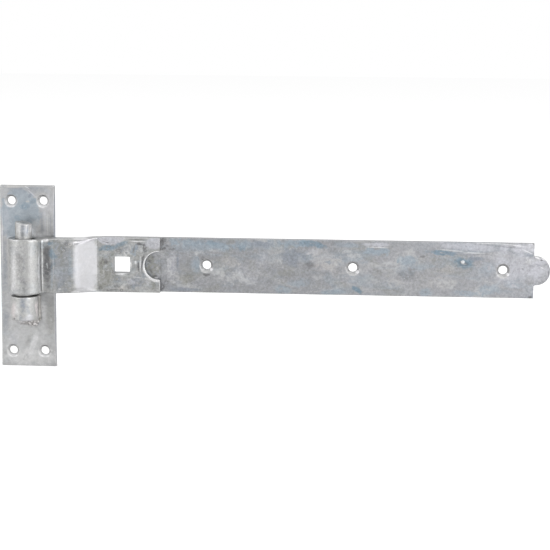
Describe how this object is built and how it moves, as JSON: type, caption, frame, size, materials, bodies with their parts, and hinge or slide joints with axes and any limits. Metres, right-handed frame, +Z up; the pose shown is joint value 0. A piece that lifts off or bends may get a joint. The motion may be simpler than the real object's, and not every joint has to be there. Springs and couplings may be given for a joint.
{
  "type": "cranked hook and band hinge",
  "caption": "Galvanised gate hinge: a cranked flat band folded into an eye that turns on an upright pin, welded to a screwed hook plate.",
  "frame": {"origin": "the middle of the hook plate's back face, which lies against the post", "axes": "+X along the band, away from the pin; +Y into the post; +Z up along the pin"},
  "size_m": [0.3995, 0.03, 0.1334],
  "materials": {
    "zinc_plate": "hot-dip galvanised steel, cloudy blue-grey",
    "zinc_pin": "hot-dip galvanised steel, pale and a little rough",
    "zinc_weld": "galvanised weld bead, lumpy",
    "zinc_band": "hot-dip galvanised flat bar, mottled with faint runs"
  },
  "bodies": {
    "hook": {"hook_plate": "zinc_plate", "hook_pin": "zinc_pin", "boss_weld": "zinc_weld"},
    "band": {"band": "zinc_band"}
  },
  "joints": [
    {"name": "band_swing", "type": "hinge", "parent": "hook", "child": "band", "pos_m": [0, -0.0185, 0.0102], "axis": [0, 0, 1], "range_deg": [-207, 15]}
  ]
}
